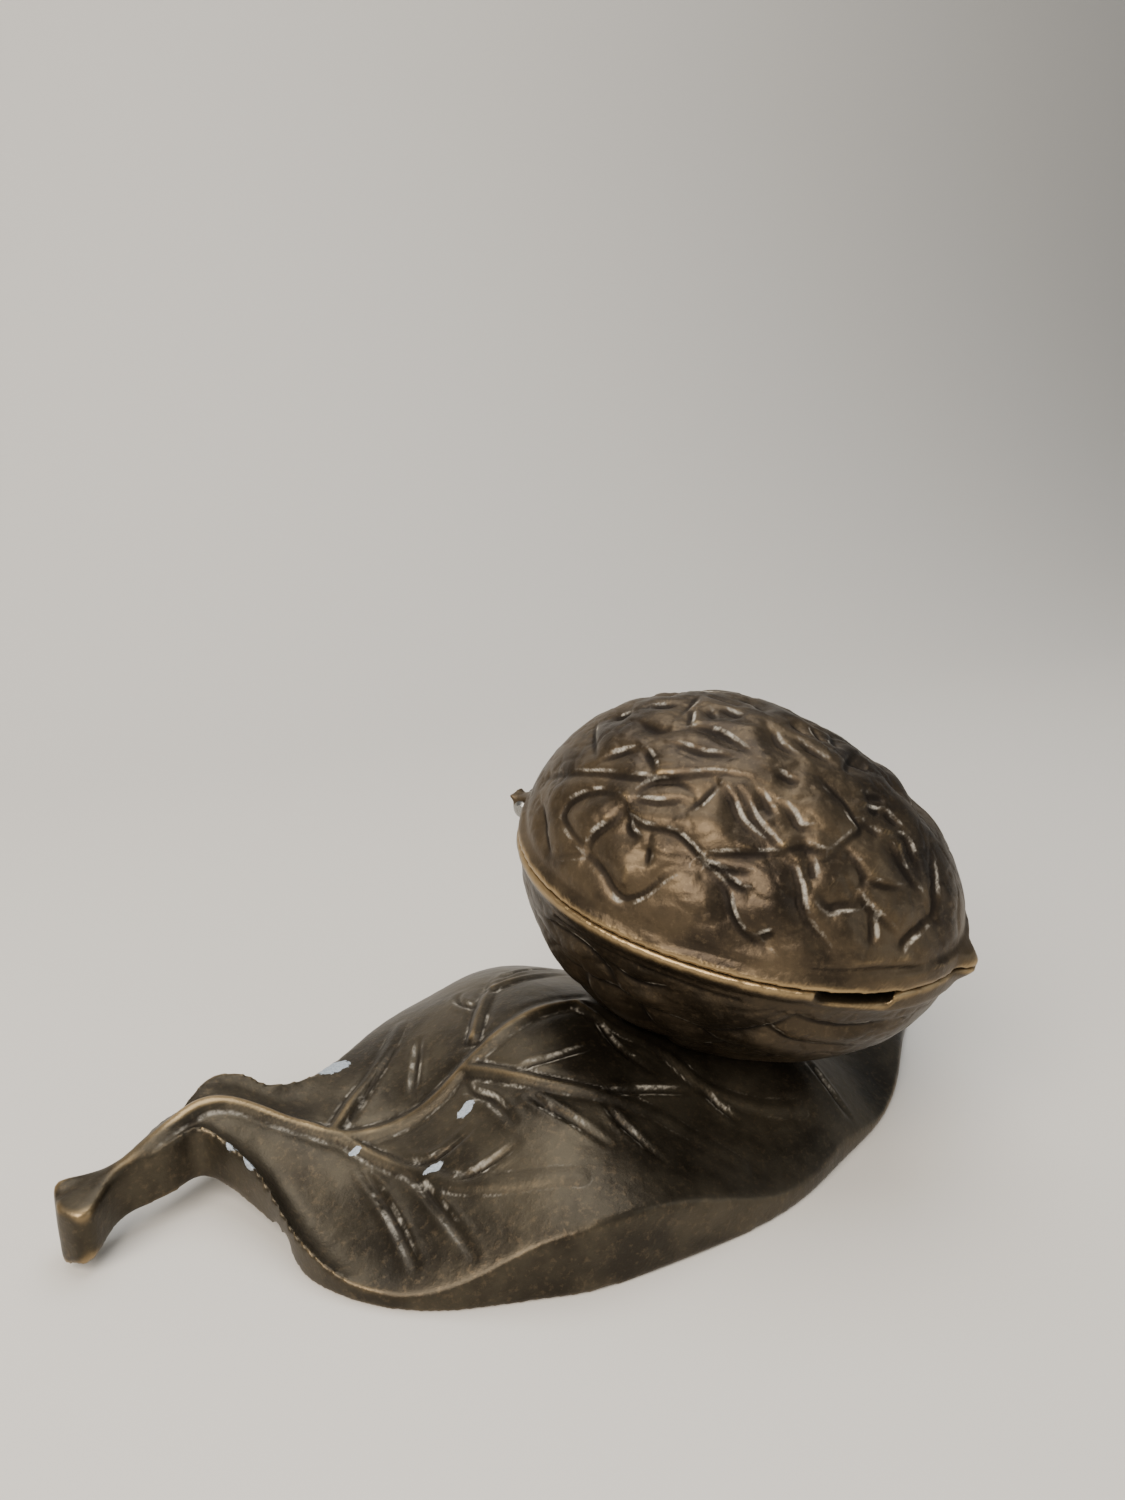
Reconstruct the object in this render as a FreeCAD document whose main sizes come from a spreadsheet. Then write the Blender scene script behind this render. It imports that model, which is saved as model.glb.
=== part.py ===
import FreeCAD, Part
import math
import os
import Sketcher

# A table nutcracker shaped as a walnut on a leaf. Millimetres, +Z up. The origin is on the table,
# under the middle of the whole object: +X runs along the leaf from its stem to its tip, and +Y is
# the side that the walnut's hinge is on.
#
# The walnut's pieces are drawn in the walnut's own frame: its origin is the middle of the seam
# between the halves, X points at the pressing tip, Z is square to the seam. One placement, made
# from the walnut_... cells of the sheet, puts that frame on the leaf.

Vector = FreeCAD.Vector
doc = FreeCAD.newDocument("Nutcracker")

# --------------------------------------------------------------------------- driving dimensions

SIZES = {
    # the walnut's frame on the leaf
    "walnut_x": 44.8, "walnut_y": -8.0, "walnut_z": 72.5,
    "walnut_yaw": -59.0, "walnut_pitch": 11.0, "walnut_roll": 5.4,
    # the walnut: two half ellipses turned about an axis a little under the seam
    "nut_middle_x": -8.0, "nut_rear": 54.0, "nut_front": 70.0, "nut_radius": 49.0,
    "nut_axis_drop": 2.6, "shell_wall": 4.5, "seam_half_gap": 0.15,
    "lip_out": 1.6, "upper_lip_height": 5.0, "lower_lip_height": 6.0,
    "beak_start": 50.0, "beak_end": 67.0, "beak_root_radius": 21.0, "beak_tip_radius": 1.6,
    "beak_depth": 4.0,
    "notch_x": 38.0, "notch_length": 15.0, "notch_height": 3.0, "notch_depth": 17.0,
    # hinge at the blunt end
    "hinge_x": -62.0, "knuckle_radius": 3.6, "arm_reach": 7.5, "arm_height": 3.6,
    "middle_knuckle_half": 7.0, "outer_knuckle_start": 7.8, "outer_knuckle_end": 14.0,
    "knuckle_gap": 0.6, "fin_reach": 5.8, "fin_height": 1.4, "fin_angle": 208.0,
    "pin_radius": 1.5, "pin_head_radius": 2.6, "pin_head_height": 1.2, "pin_tail": 1.6,
    "pin_fit": 0.02, "running_fit": 0.05, "bush_wall": 0.8,
    "hinge_washer_radius": 3.2, "hinge_washer_thick": 0.6, "side_play": 0.1,
    "clip_radius": 2.6, "clip_thick": 0.7, "pin_room": 2.4,
    # toothed jaws
    "jaw_x": -31.0, "jaw_length": 26.0, "jaw_width": 30.0, "jaw_back": 4.0, "tooth_height": 2.0,
    "jaw_gap_half": 6.0, "pillar_margin": 1.0,
    "jaw_screw_y": 10.5, "jaw_screw_radius": 2.0, "jaw_screw_length": 10.0,
    "jaw_screw_head_radius": 3.5, "jaw_screw_head_height": 2.4, "jaw_recess_radius": 4.0,
    "jaw_recess_floor": 2.4, "thread_gap": 0.1,
    # seat of the walnut on the leaf, and its bolts
    "foot_radius": 16.0, "foot_level": -52.5, "foot_root": -48.0, "cradle_gap": 0.6,
    "seat_radius": 19.0, "seat_thick": 6.5, "bolt_x": 8.5, "bolt_radius": 3.0,
    "bolt_hole_gap": 0.3, "bolt_boss_radius": 7.0, "bolt_boss_top": -40.0, "bolt_end": -42.5,
    "washer_radius": 6.0, "washer_thick": 1.6, "spring_washer_radius": 5.4,
    "spring_washer_thick": 1.4, "bolt_head_flats": 10.0, "bolt_head_height": 4.0,
    # the leaf
    "leaf_y": 4.0, "leaf_wall": 3.0,
}

sheet = doc.addObject("Spreadsheet::Sheet", "Sizes")
for row, (alias, value) in enumerate(SIZES.items(), start=1):
    sheet.set(f"A{row}", alias)
    sheet.set(f"B{row}", str(value))
    sheet.setAlias(f"B{row}", alias)
doc.recompute()

WALNUT_FRAME = (
    "placement(vector(Sizes.walnut_x; Sizes.walnut_y; Sizes.walnut_z);"
    " rotation(Sizes.walnut_yaw; Sizes.walnut_pitch; Sizes.walnut_roll))"
)


def value_of(formula):
    """The number that a formula on sheet aliases gives now."""
    names = {alias: sheet.get(alias) for alias in SIZES}
    total = 0.0
    for term in formula.replace("-", "+-").split("+"):
        if not term.strip():
            continue
        product = 1.0
        for factor in term.split("*"):
            factor = factor.strip()
            if factor.startswith("-"):
                product = -product
                factor = factor[1:].strip()
            product *= names[factor] if factor in names else float(factor)
        total += product
    return total


def bound(formula):
    """The same formula as an expression that a property can be bound to."""
    return " ".join(f"Sizes.{word}" if word in SIZES else word for word in formula.split())


def bind(obj, **formulas):
    for name, formula in formulas.items():
        obj.setExpression(name, bound(formula))


def place(obj, x="0", y="0", z="0", turn="rotation(0; 0; 0)", in_walnut=True):
    """Put an object at x, y, z of the walnut's frame, or of the whole object's frame."""
    local = f"placement(vector({bound(x)}; {bound(y)}; {bound(z)}); {turn})"
    obj.setExpression("Placement", f"{WALNUT_FRAME} * {local}" if in_walnut else local)


# ------------------------------------------------------------------------------ small builders

def box(name, x, y, z, length, width, height):
    """A box from its low corner, in the walnut's frame before it is placed."""
    item = doc.addObject("Part::Box", name)
    bind(item, Length=length, Width=width, Height=height)
    item.setExpression("Placement.Base.x", bound(x))
    item.setExpression("Placement.Base.y", bound(y))
    item.setExpression("Placement.Base.z", bound(z))
    return item


def cylinder(name, x, y, z, radius, height, axis=Vector(0, 0, 1)):
    """A cylinder from the middle of its base, along an axis."""
    item = doc.addObject("Part::Cylinder", name)
    bind(item, Radius=radius, Height=height)
    item.Placement.Rotation = FreeCAD.Rotation(Vector(0, 0, 1), axis)
    item.setExpression("Placement.Base.x", bound(x))
    item.setExpression("Placement.Base.y", bound(y))
    item.setExpression("Placement.Base.z", bound(z))
    return item


def join(name, *parts):
    item = doc.addObject("Part::MultiFuse", name)
    item.Shapes = list(parts)
    return item


def overlap(name, first, second):
    item = doc.addObject("Part::Common", name)
    item.Base = first
    item.Tool = second
    return item


def cut(name, first, *tools):
    item = doc.addObject("Part::Cut", name)
    item.Base = first
    item.Tool = tools[0] if len(tools) == 1 else join(name + "Tools", *tools)
    return item


def origin_plane(body, role):
    return next(f for f in body.Origin.OriginFeatures if f.Role == role)


def polygon_sketch(body, name, plane, corners):
    """A closed outline with every corner tied to the sheet; corners are pairs of formulas."""
    sketch = body.newObject("Sketcher::SketchObject", name)
    sketch.AttachmentSupport = [(origin_plane(body, plane), "")]
    sketch.MapMode = "FlatFace"
    points = [Vector(value_of(x), value_of(y), 0) for x, y in corners]
    count = len(points)
    for i in range(count):
        sketch.addGeometry(Part.LineSegment(points[i], points[(i + 1) % count]), False)
    for i in range(count):
        sketch.addConstraint(Sketcher.Constraint("Coincident", i, 2, (i + 1) % count, 1))
    for i, corner in enumerate(corners):
        for kind, formula in zip(("DistanceX", "DistanceY"), corner):
            index = sketch.addConstraint(
                Sketcher.Constraint(kind, -1, 1, i, 1, value_of(formula)))
            sketch.setExpression(f"Constraints[{index}]", bound(formula))
    return sketch


def circle_sketch(body, name, centres, radius, level="0"):
    """Equal circles on the Y axis of the XY plane, at formulas for y, raised to a level."""
    sketch = body.newObject("Sketcher::SketchObject", name)
    sketch.AttachmentSupport = [(origin_plane(body, "XY_Plane"), "")]
    sketch.MapMode = "FlatFace"
    sketch.setExpression("AttachmentOffset.Base.z", bound(level))
    for index, y in enumerate(centres):
        centre = Vector(0, value_of(y), 0)
        sketch.addGeometry(Part.Circle(centre, Vector(0, 0, 1), value_of(radius)), False)
        sketch.addConstraint(Sketcher.Constraint("PointOnObject", index, 3, -2))
        ruled = sketch.addConstraint(Sketcher.Constraint("DistanceY", -1, 1, index, 3, value_of(y)))
        sketch.setExpression(f"Constraints[{ruled}]", bound(y))
        sized = sketch.addConstraint(Sketcher.Constraint("Radius", index, value_of(radius)))
        sketch.setExpression(f"Constraints[{sized}]", bound(radius))
    return sketch


def hexagon_sketch(body, name, flats):
    """A regular hexagon about the origin of the XY plane, sized across its flats."""
    sketch = body.newObject("Sketcher::SketchObject", name)
    sketch.AttachmentSupport = [(origin_plane(body, "XY_Plane"), "")]
    sketch.MapMode = "FlatFace"
    width = value_of(flats)
    to_corner = width / math.sqrt(3)
    corners = [Vector(to_corner * math.cos(i * math.tau / 6), to_corner * math.sin(i * math.tau / 6), 0)
               for i in range(6)]
    for i in range(6):
        sketch.addGeometry(Part.LineSegment(corners[i], corners[(i + 1) % 6]), False)
    circle = sketch.addGeometry(Part.Circle(Vector(0, 0, 0), Vector(0, 0, 1), width / 2), True)
    for i in range(6):
        sketch.addConstraint(Sketcher.Constraint("Coincident", i, 2, (i + 1) % 6, 1))
        sketch.addConstraint(Sketcher.Constraint("Tangent", i, circle))
    for i in range(1, 6):
        sketch.addConstraint(Sketcher.Constraint("Equal", 0, i))
    sketch.addConstraint(Sketcher.Constraint("Coincident", circle, 3, -1, 1))
    sized = sketch.addConstraint(Sketcher.Constraint("Diameter", circle, width))
    sketch.setExpression(f"Constraints[{sized}]", bound(flats))
    return sketch


def turned_body(label, corners):
    """A body turned about Z from a half outline given as (radius, height) pairs."""
    body = doc.addObject("PartDesign::Body", label)
    sketch = polygon_sketch(body, label + "_outline", "XZ_Plane", corners)
    turning = body.newObject("PartDesign::Revolution", label + "_turning")
    turning.Profile = sketch
    turning.ReferenceAxis = (sketch, ["V_Axis"])
    turning.Angle = 360
    sketch.Visibility = False
    return body


def ring_body(label, inner, outer, thick):
    return turned_body(label, [(inner, "0"), (outer, "0"), (outer, thick), (inner, thick)])


# ------------------------------------------------------------------------------------ walnut

def half_ellipses(name, grow):
    """The walnut's long outline above its axis, grown outwards by a formula."""
    sketch = doc.addObject("Sketcher::SketchObject", name)
    sketch.Placement.Rotation = FreeCAD.Rotation(Vector(1, 0, 0), 90)
    middle = value_of("nut_middle_x")
    radius = value_of("nut_radius + " + grow)
    reaches = (("nut_rear", 0.25, 0.5, -1), ("nut_front", 0.0, 0.25, 1))
    ends = []
    for reach, start, stop, side in reaches:
        length = value_of(f"{reach} + {grow}")
        ellipse = Part.Ellipse(Vector(middle, 0, 0), length, radius)
        arc = sketch.addGeometry(Part.ArcOfEllipse(ellipse, start * math.tau, stop * math.tau), False)
        sketch.exposeInternalGeometry(arc)
        long_line, short_line = arc + 1, arc + 2
        rules = [
            (Sketcher.Constraint("Distance", long_line, 2 * length), f"2 * {reach} + 2 * {grow}"),
            (Sketcher.Constraint("DistanceX", -1, 1, arc, 3, middle), "nut_middle_x"),
        ]
        if side < 0:
            rules.append((Sketcher.Constraint("Distance", short_line, 2 * radius),
                          f"2 * nut_radius + 2 * {grow}"))
        for rule, formula in rules:
            index = sketch.addConstraint(rule)
            sketch.setExpression(f"Constraints[{index}]", bound(formula))
        sketch.addConstraint(Sketcher.Constraint("PointOnObject", arc, 3, -1))
        sketch.addConstraint(Sketcher.Constraint("Horizontal", long_line))
        pole, crown = (2, 1) if side < 0 else (1, 2)
        sketch.addConstraint(Sketcher.Constraint("PointOnObject", arc, pole, -1))
        ends.append((arc, pole, crown, Vector(middle + side * length, 0, 0)))
    (rear, rear_pole, rear_crown, rear_end), (front, front_pole, front_crown, front_end) = ends
    sketch.addConstraint(Sketcher.Constraint("Coincident", rear, rear_crown, front, front_crown))
    sketch.addConstraint(Sketcher.Constraint("Vertical", rear, rear_crown, rear, 3))
    base = sketch.addGeometry(Part.LineSegment(rear_end, front_end), False)
    sketch.addConstraint(Sketcher.Constraint("Coincident", base, 1, rear, rear_pole))
    sketch.addConstraint(Sketcher.Constraint("Coincident", base, 2, front, front_pole))
    return sketch


def walnut_solid(name, grow):
    """The whole walnut, turned about its long axis under the seam."""
    solid = doc.addObject("Part::Revolution", name)
    solid.Source = half_ellipses(name + "Outline", grow)
    solid.Axis = Vector(1, 0, 0)
    solid.Angle = 360
    solid.Solid = True
    solid.setExpression("Placement.Base.z", bound("-1 * nut_axis_drop"))
    return solid


def slab(name, low, height):
    """Everything between two levels of the walnut's frame."""
    return box(name, "-150", "-100", low, "300", "200", height)


def tube_y(name, x, z, radius, start, stop):
    """A cylinder along Y between two formulas."""
    return cylinder(name, x, start, z, radius, f"{stop} - ( {start} )", axis=Vector(0, 1, 0))


def beak(name, low, height):
    """The pointed lip that the thumb lifts: a cone cut to one side of the seam."""
    cone = doc.addObject("Part::Cone", name + "Cone")
    bind(cone, Radius1="beak_root_radius", Radius2="beak_tip_radius",
         Height="beak_end - beak_start")
    cone.Placement.Rotation = FreeCAD.Rotation(Vector(0, 1, 0), 90)
    cone.setExpression("Placement.Base.x", bound("beak_start"))
    return overlap(name, cone, slab(name + "Slab", low, height))


def shell(side, sign, lip_height):
    """One half of the walnut: shell wall, lip along the seam and beak. sign is 1 for the lid."""
    low = "seam_half_gap" if sign > 0 else "-1 * seam_half_gap - 100"
    lip_low = "seam_half_gap" if sign > 0 else f"-1 * {lip_height}"
    beak_low = "seam_half_gap" if sign > 0 else "-1 * beak_depth"
    outer = overlap(side + "Outer", walnut_solid(side + "Walnut", "0"), slab(side + "Half", low, "100"))
    lip = overlap(side + "Lip", walnut_solid(side + "LipWalnut", "lip_out"),
                  slab(side + "LipSlab", lip_low, f"{lip_height} - seam_half_gap"))
    point = beak(side + "Beak", beak_low, "beak_depth - seam_half_gap")
    hollow = walnut_solid(side + "Hollow", "-1 * shell_wall")
    return join(side + "Skin", outer, lip, point), hollow


def jaw_pillar(side, sign):
    """The block cast in a shell that carries a jaw, kept inside the shell's skin."""
    reach = "jaw_gap_half + jaw_back + tooth_height"
    low = reach if sign > 0 else "-60"
    block = box(side + "PillarBlock", "jaw_x - 0.5 * jaw_length - pillar_margin",
                "-0.5 * jaw_width - pillar_margin", low,
                "jaw_length + 2 * pillar_margin", "jaw_width + 2 * pillar_margin",
                f"60 - {reach.replace('+', '-')}")
    return overlap(side + "Pillar", block, walnut_solid(side + "PillarSkin", "-1"))


def jaw_screw_holes(side, sign):
    """Tapped holes in a pillar for the two jaw screws."""
    holes = []
    for name, y in (("Left", "-1 * jaw_screw_y"), ("Right", "jaw_screw_y")):
        low = "jaw_gap_half + jaw_back + tooth_height - 1"
        if sign < 0:
            low = "-1 * jaw_gap_half - jaw_back - tooth_height - jaw_screw_length"
        holes.append(cylinder(side + name + "ScrewHole", "jaw_x", y, low,
                              "jaw_screw_radius + thread_gap", "jaw_screw_length + 1"))
    return holes


def shell_bolt_positions():
    return (("front", "bolt_x"), ("rear", "-1 * bolt_x"))


def outer_knuckle_spans():
    return (("Left", "-1 * outer_knuckle_end", "-1 * outer_knuckle_start"),
            ("Right", "outer_knuckle_start", "outer_knuckle_end"))


def build_lower_shell():
    """The cup: it carries the middle knuckle, the foot with its bolt bosses, and the lower jaw."""
    skin, hollow = shell("Lower", -1, "lower_lip_height")
    foot = cylinder("LowerFoot", "0", "0", "foot_level", "foot_radius", "foot_root - foot_level")
    rooms = [tube_y(f"Lower{name}Room", "hinge_x", "0", "knuckle_radius + knuckle_gap",
                    start, stop)
             for name, start, stop in (
                 ("Left", "-1 * outer_knuckle_end - pin_room", "-1 * middle_knuckle_half"),
                 ("Right", "middle_knuckle_half", "outer_knuckle_end + pin_room"))]
    body = cut("LowerBody", join("LowerWhole", skin, foot), hollow, *rooms)
    knuckle = tube_y("LowerKnuckle", "hinge_x", "0", "knuckle_radius",
                     "-1 * middle_knuckle_half", "middle_knuckle_half")
    arm = box("LowerArm", "hinge_x", "-1 * middle_knuckle_half", "-1 * arm_height", "arm_reach",
              "2 * middle_knuckle_half", "arm_height - seam_half_gap")
    bosses = []
    bolt_holes = []
    for name, x in shell_bolt_positions():
        bosses.append(cylinder(f"Lower{name}Boss", x, "0", "foot_root", "bolt_boss_radius",
                               "bolt_boss_top - foot_root"))
        bolt_holes.append(cylinder(f"Lower{name}BoltHole", x, "0", "foot_level - 1",
                                   "bolt_radius + thread_gap", "bolt_end + 1 - foot_level + 1"))
    notch = box("LowerNotch", "notch_x", "-60", "-1 * notch_height", "notch_length",
                "60 - notch_depth", "notch_height + 1")
    bush_bore = tube_y("LowerBushBore", "hinge_x", "0",
                       "pin_radius + running_fit + bush_wall + pin_fit",
                       "-1 * middle_knuckle_half - 1", "middle_knuckle_half + 1")
    solid = join("LowerSolid", body, jaw_pillar("Lower", -1), knuckle, arm, *bosses)
    lower = cut("lower_shell", solid, bush_bore, notch, *bolt_holes, *jaw_screw_holes("Lower", -1))
    place(lower)
    return lower


def build_upper_shell():
    """The lid: two outer knuckles, each with a fin that stops the lid when it is wide open."""
    skin, hollow = shell("Upper", 1, "upper_lip_height")
    room = tube_y("UpperRoom", "hinge_x", "0", "knuckle_radius + knuckle_gap",
                  "-1 * outer_knuckle_start", "outer_knuckle_start")
    ends = [tube_y(f"Upper{name}PinRoom", "hinge_x", "0", "pin_head_radius + knuckle_gap",
                   start, stop)
            for name, start, stop in (
                ("Left", "-1 * outer_knuckle_end - pin_room", "-1 * outer_knuckle_end"),
                ("Right", "outer_knuckle_end", "outer_knuckle_end + pin_room"))]
    body = cut("UpperBody", skin, hollow, room, *ends)
    fittings = []
    for name, start, stop in outer_knuckle_spans():
        fittings.append(tube_y(f"Upper{name}Knuckle", "hinge_x", "0", "knuckle_radius", start, stop))
        fittings.append(box(f"Upper{name}Arm", "hinge_x", start, "seam_half_gap", "arm_reach",
                            "outer_knuckle_end - outer_knuckle_start", "arm_height"))
        fin = doc.addObject("Part::Box", f"Upper{name}Fin")
        bind(fin, Length="fin_reach", Width="outer_knuckle_end - outer_knuckle_start",
             Height="fin_height")
        fin.setExpression("Placement", bound(
            f"placement(vector( hinge_x ; {start} ; 0);"
            " rotation(vector(0; 1; 0); fin_angle )) * placement(vector(0; 0; -0.5 * fin_height );"
            " rotation(0; 0; 0))"))
        fittings.append(fin)
    pin_bore = tube_y("UpperPinBore", "hinge_x", "0", "pin_radius + pin_fit", "-30", "30")
    solid = join("UpperSolid", body, jaw_pillar("Upper", 1), *fittings)
    upper = cut("upper_shell", solid, pin_bore, *jaw_screw_holes("Upper", 1))
    place(upper)
    return upper


# -------------------------------------------------------------------------------------- hinge

ALONG_Y = "rotation(vector(1; 0; 0); -90)"


def build_hinge():
    pin = turned_body("hinge_pin", [
        ("0", "-1 * outer_knuckle_end - pin_head_height"),
        ("0.6 * pin_head_radius", "-1 * outer_knuckle_end - pin_head_height"),
        ("pin_head_radius", "-1 * outer_knuckle_end - 0.5 * pin_head_height"),
        ("pin_head_radius", "-1 * outer_knuckle_end"),
        ("pin_radius", "-1 * outer_knuckle_end"),
        ("pin_radius", "outer_knuckle_end + pin_tail"),
        ("0", "outer_knuckle_end + pin_tail"),
    ])
    place(pin, "hinge_x", turn=ALONG_Y)
    bush = ring_body("hinge_bush", "pin_radius + running_fit", "pin_radius + running_fit + bush_wall",
                     "2 * middle_knuckle_half")
    place(bush, "hinge_x", "-1 * middle_knuckle_half", turn=ALONG_Y)
    washers = []
    for side, start in (("left", "-1 * outer_knuckle_start + side_play"),
                        ("right", "middle_knuckle_half + side_play")):
        washer = ring_body(f"hinge_washer_{side}", "pin_radius + running_fit", "hinge_washer_radius",
                           "hinge_washer_thick")
        place(washer, "hinge_x", start, turn=ALONG_Y)
        washers.append(washer)
    clip = ring_body("pin_retaining_clip", "pin_radius + pin_fit", "clip_radius", "clip_thick")
    place(clip, "hinge_x", "outer_knuckle_end + side_play", turn=ALONG_Y)
    return [pin, bush, *washers, clip]


# --------------------------------------------------------------------------------------- jaws

TEETH = 8


def build_jaw(label, sign):
    """A cast plate with a row of V teeth across its length and two recessed screw holes."""
    body = doc.addObject("PartDesign::Body", label)
    corners = [("-0.5 * jaw_length", "0")]
    for tooth in range(TEETH):
        valley = tooth / TEETH - 0.5
        peak = (tooth + 0.5) / TEETH - 0.5
        corners.append((f"{valley} * jaw_length", "jaw_back"))
        corners.append((f"{peak} * jaw_length", "jaw_back + tooth_height"))
    corners.append(("0.5 * jaw_length", "jaw_back"))
    corners.append(("0.5 * jaw_length", "0"))
    sketch = polygon_sketch(body, label + "_teeth", "XZ_Plane", corners)
    plate = body.newObject("PartDesign::Pad", label + "_plate")
    plate.Profile = sketch
    plate.Midplane = True
    plate.setExpression("Length", bound("jaw_width"))
    doc.recompute()
    for name, radius, floor in (("hole", "jaw_screw_radius + thread_gap", "0"),
                                ("recess", "jaw_recess_radius", "jaw_recess_floor")):
        circles = circle_sketch(body, f"{label}_{name}_circles", ("-1 * jaw_screw_y", "jaw_screw_y"),
                                radius, floor)
        drilling = body.newObject("PartDesign::Pocket", f"{label}_{name}")
        drilling.Profile = circles
        drilling.Type = "Length"
        drilling.Reversed = True
        drilling.setExpression("Length", bound("jaw_back + tooth_height"))
        doc.recompute()
    turn = "rotation(0; 0; 0)" if sign < 0 else "rotation(vector(1; 0; 0); 180)"
    level = f"{sign} * jaw_gap_half + {sign} * jaw_back + {sign} * tooth_height"
    place(body, "jaw_x", z=level, turn=turn)
    return body


def build_jaw_screws(side, sign):
    """Pan head screws, heads in the jaw's recesses."""
    screws = []
    for name, y in (("left", "-1 * jaw_screw_y"), ("right", "jaw_screw_y")):
        screw = turned_body(f"{side}_jaw_screw_{name}", [
            ("0", "-1 * jaw_screw_length + 1"),
            ("jaw_screw_radius", "-1 * jaw_screw_length + 1"),
            ("jaw_screw_radius", "jaw_recess_floor"),
            ("jaw_screw_head_radius", "jaw_recess_floor"),
            ("jaw_screw_head_radius", "jaw_recess_floor + 0.6 * jaw_screw_head_height"),
            ("0.6 * jaw_screw_head_radius", "jaw_recess_floor + jaw_screw_head_height"),
            ("0", "jaw_recess_floor + jaw_screw_head_height"),
        ])
        turn = "rotation(0; 0; 0)" if sign < 0 else "rotation(vector(1; 0; 0); 180)"
        level = f"{sign} * jaw_gap_half + {sign} * jaw_back + {sign} * tooth_height"
        place(screw, "jaw_x", y, level, turn)
        screws.append(screw)
    return screws


# --------------------------------------------------------------------- bolts under the leaf

def build_shell_bolts():
    """Hex bolts with plain and spring washers that hold the walnut down on the leaf's seat."""
    pieces = []
    under = "foot_level - seat_thick"
    for name, x in shell_bolt_positions():
        washer = ring_body(f"shell_washer_{name}", "bolt_radius + bolt_hole_gap", "washer_radius",
                           "washer_thick")
        place(washer, x, z=f"{under} - washer_thick")
        spring = ring_body(f"spring_washer_{name}", "bolt_radius + bolt_hole_gap",
                           "spring_washer_radius", "spring_washer_thick")
        place(spring, x, z=f"{under} - washer_thick - spring_washer_thick")
        head_top = f"{under} - washer_thick - spring_washer_thick"
        bolt = doc.addObject("PartDesign::Body", f"shell_bolt_{name}")
        head = bolt.newObject("PartDesign::Pad", f"bolt_{name}_head")
        head.Profile = hexagon_sketch(bolt, f"bolt_{name}_hexagon", "bolt_head_flats")
        head.Reversed = True
        head.setExpression("Length", bound("bolt_head_height"))
        shank = bolt.newObject("PartDesign::Pad", f"bolt_{name}_shank")
        shank.Profile = circle_sketch(bolt, f"bolt_{name}_circle", ("0",), "bolt_radius")
        shank.setExpression("Length", bound(
            "bolt_end - foot_level + seat_thick + washer_thick + spring_washer_thick"))
        place(bolt, x, z=head_top)
        pieces += [washer, spring, bolt]
    return pieces


# --------------------------------------------------------------------------------------- leaf

# The leaf's lofting table, from the stem's end to the leaf's tip, in the leaf's own frame (the
# midrib lies near y = 0). Each station gives the midrib (x, y, z), the front rim (x, y, z, height
# of its lower edge), the back rim likewise, and how far the front and back lobes stand over a
# straight line from midrib to rim. A lower edge under 0 is trimmed off level with the table.
STATIONS = (
    ((-133.8, 5.0, 18.0), (-133.8, 2.0, 17.0, 2.0), (-133.8, 8.0, 17.0, 2.0), 0.4, 0.4),
    ((-122.0, 7.2, 19.6), (-121.5, 4.2, 18.4, 6.0), (-122.0, 10.6, 18.8, 6.0), 0.4, 0.4),
    ((-112.0, 11.0, 22.2), (-111.5, 7.4, 21.3, 7.3), (-112.5, 14.8, 21.8, 7.3), 0.2, 0.2),
    ((-104.0, 15.2, 24.2), (-103.0, 9.6, 23.6, 8.6), (-105.0, 19.2, 24.0, 8.8), -0.6, -0.2),
    ((-96.5, 17.6, 25.0), (-96.5, 6.0, 23.4, 8.2), (-97.5, 25.0, 25.4, 9.5), -2.0, -0.6),
    ((-90.0, 16.4, 23.6), (-91.0, -5.0, 20.6, 6.4), (-90.0, 29.2, 26.0, 10.0), -3.5, -1.2),
    ((-83.0, 13.2, 20.6), (-87.6, -15.5, 15.6, 3.4), (-82.0, 26.2, 23.6, 8.0), -4.5, -2.0),
    ((-75.0, 7.4, 17.5), (-83.2, -29.5, 8.6, -1.5), (-75.0, 24.4, 21.0, 4.6), -3.6, -2.0),
    ((-64.5, 0.8, 15.0), (-71.0, -44.8, 4.2, -1.5), (-64.0, 29.0, 18.6, -1.5), 0.5, 0.0),
    ((-52.0, -0.6, 16.0), (-54.0, -54.0, 8.2, -1.5), (-49.0, 40.5, 17.4, -1.5), 2.5, 2.5),
    ((-34.0, 0.8, 25.6), (-34.5, -60.2, 16.6, -1.5), (-28.0, 53.5, 17.0, -1.5), 3.0, 4.5),
    ((-14.0, 3.2, 34.0), (-13.0, -63.0, 18.4, -1.5), (-6.0, 61.0, 18.6, -1.5), 3.0, 4.0),
    ((10.0, 3.2, 32.0), (13.0, -62.8, 11.0, -1.5), (17.0, 62.6, 16.0, -1.5), 2.0, 3.0),
    ((38.0, 2.6, 25.5), (39.0, -58.0, 5.0, -1.5), (41.0, 58.4, 8.5, -1.5), 5.0, 4.0),
    ((68.0, 2.8, 19.5), (68.0, -46.8, 3.4, -1.5), (69.0, 47.0, 4.2, -1.5), 4.5, 3.0),
    ((96.0, 3.4, 10.4), (96.0, -29.5, 3.4, -1.5), (97.0, 31.0, 3.4, -1.5), 1.2, 1.2),
    ((117.0, 4.0, 6.0), (116.0, -11.5, 3.4, -1.5), (117.0, 17.0, 3.4, -1.5), 0.5, 0.5),
    ((133.8, 4.0, 3.6), (133.8, -0.5, 3.2, -1.5), (133.8, 8.5, 3.2, -1.5), 0.1, 0.1),
)
FIRST_HOLLOW, LAST_HOLLOW = 5, 16


def squared(station):
    """The same station with its rims moved level with the midrib, so its section is flat."""
    midrib, front, back, front_lift, back_lift = station
    x = midrib[0]
    return midrib, (x, *front[1:]), (x, *back[1:]), front_lift, back_lift


def middle_of(first, second, lift):
    return Vector((first.x + second.x) / 2, (first.y + second.y) / 2, (first.z + second.z) / 2 + lift)


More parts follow.
